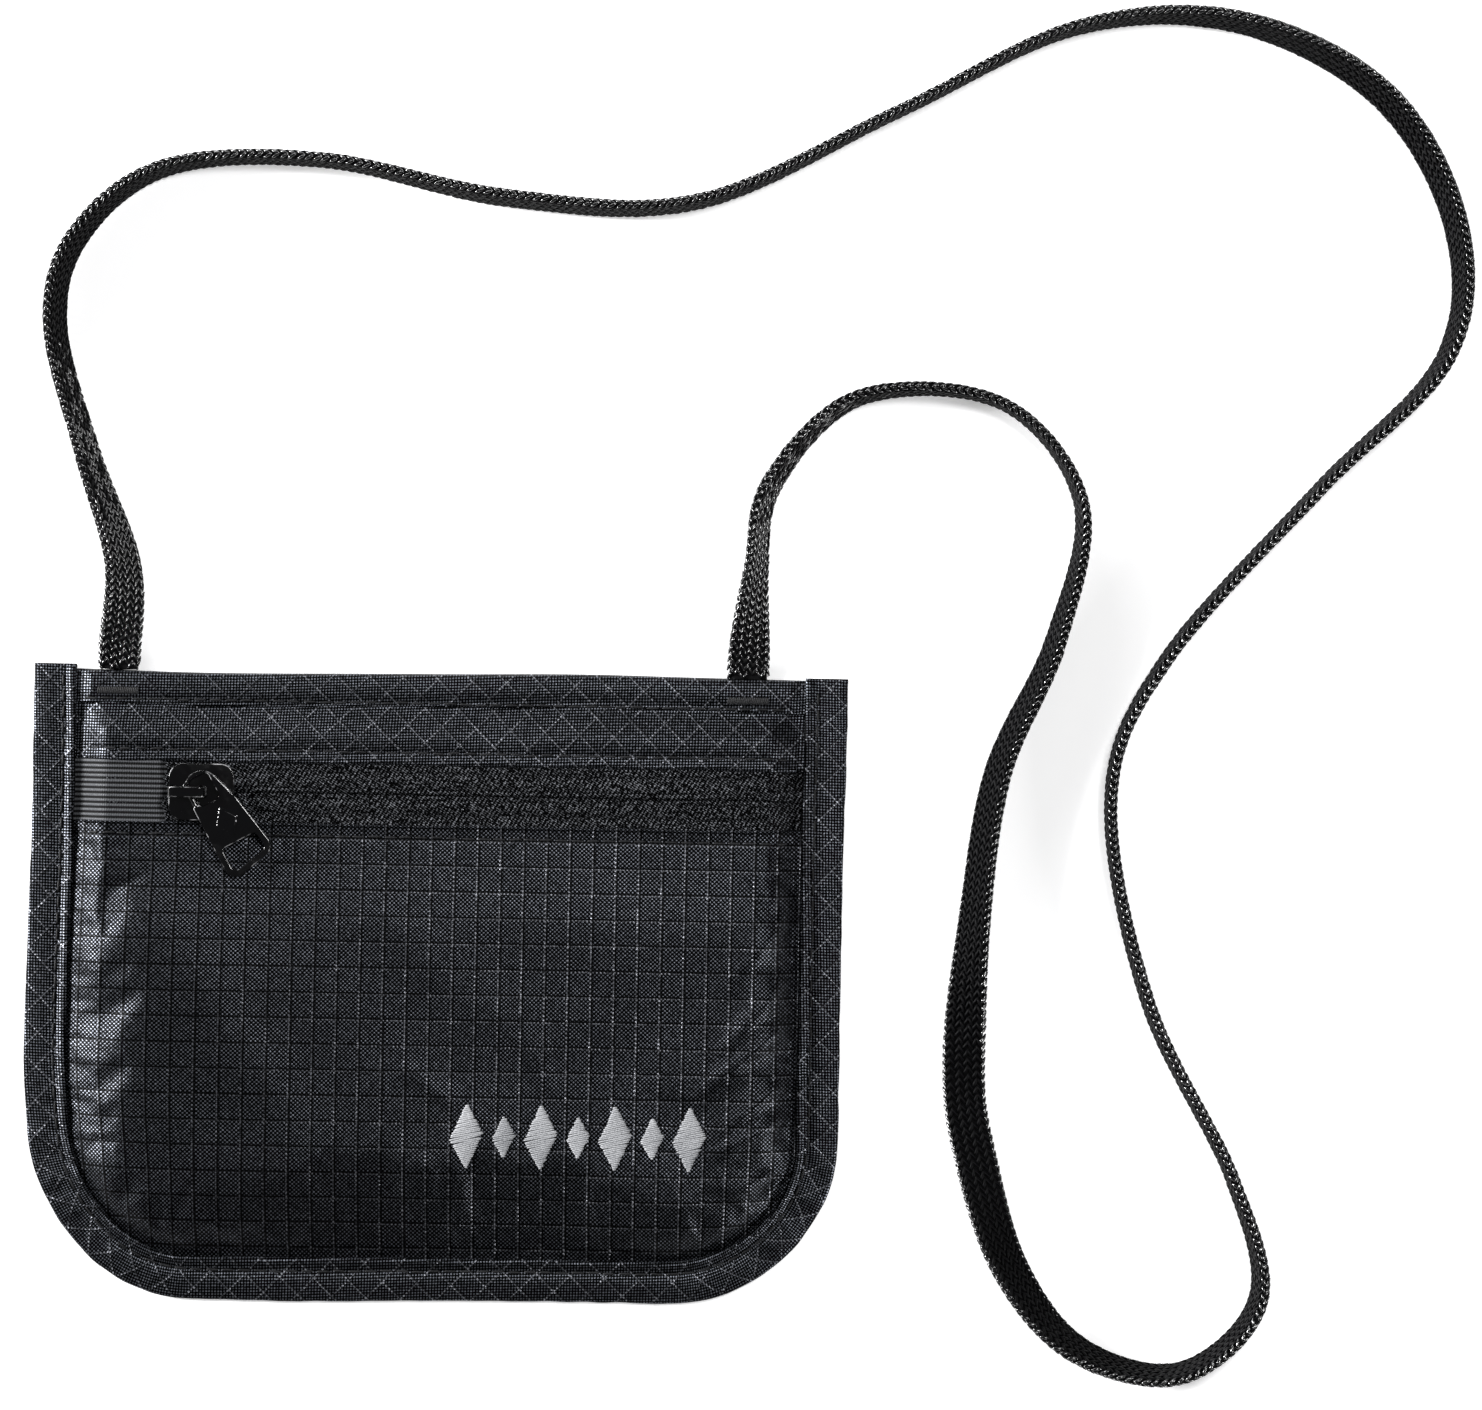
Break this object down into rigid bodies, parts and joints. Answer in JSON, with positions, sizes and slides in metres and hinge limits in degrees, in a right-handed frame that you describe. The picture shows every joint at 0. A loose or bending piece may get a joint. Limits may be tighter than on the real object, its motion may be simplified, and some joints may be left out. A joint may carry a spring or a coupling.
{
  "type": "neck pouch wallet",
  "caption": "Flat zipped pouch of ripstop cloth with a bound edge, a metal zip slider with a swinging pull, and a knitted neck cord.",
  "frame": {"origin": "middle of the pouch's back, on the surface it lies on", "axes": "+X across the pouch to the right seen from the front, +Y up the pouch towards the cord, +Z out of the front face"},
  "size_m": [0.2467, 0.2371, 0.0092],
  "materials": {
    "ripstop": "woven, slight sheen",
    "ripstop_bias": "woven on the bias",
    "zip_tape": "knitted",
    "coil": "satin",
    "grosgrain": "ribbed",
    "thread": "twisted",
    "emblem_thread": "satin stitch",
    "slider_enamel": "gloss",
    "cord": "glossy knit"
  },
  "bodies": {
    "pouch": {"back_panel": "ripstop", "front_panel": "ripstop", "top_strip": "ripstop_bias", "side_binding": "ripstop_bias", "top_binding": "ripstop_bias", "zip_tape_upper": "zip_tape", "zip_tape_lower": "zip_tape", "zip_coil_upper": "coil", "zip_coil_lower": "coil", "zip_end_tab": "grosgrain", "thread_side": "thread", "thread_top": "thread", "thread_zip_upper": "thread", "thread_zip_lower": "thread", "bar_tacks": "thread", "emblem": "emblem_thread", "cord_end_left": "cord", "cord_end_right": "cord", "neck_cord": "cord"},
    "slider": {"slider_body": "slider_enamel", "slider_bridge": "slider_enamel"},
    "pull": {"pull_tab": "slider_enamel"}
  },
  "joints": [
    {"name": "zip_slide", "type": "slide", "parent": "pouch", "child": "slider", "axis": [1, 0, 0], "range_m": [0, 0.09]},
    {"name": "pull_flip", "type": "hinge", "parent": "slider", "child": "pull", "pos_m": [-0.0431, 0.0325, 0.00708], "axis": [0.4787, -0.878, 0], "range_deg": [0, 100]}
  ]
}
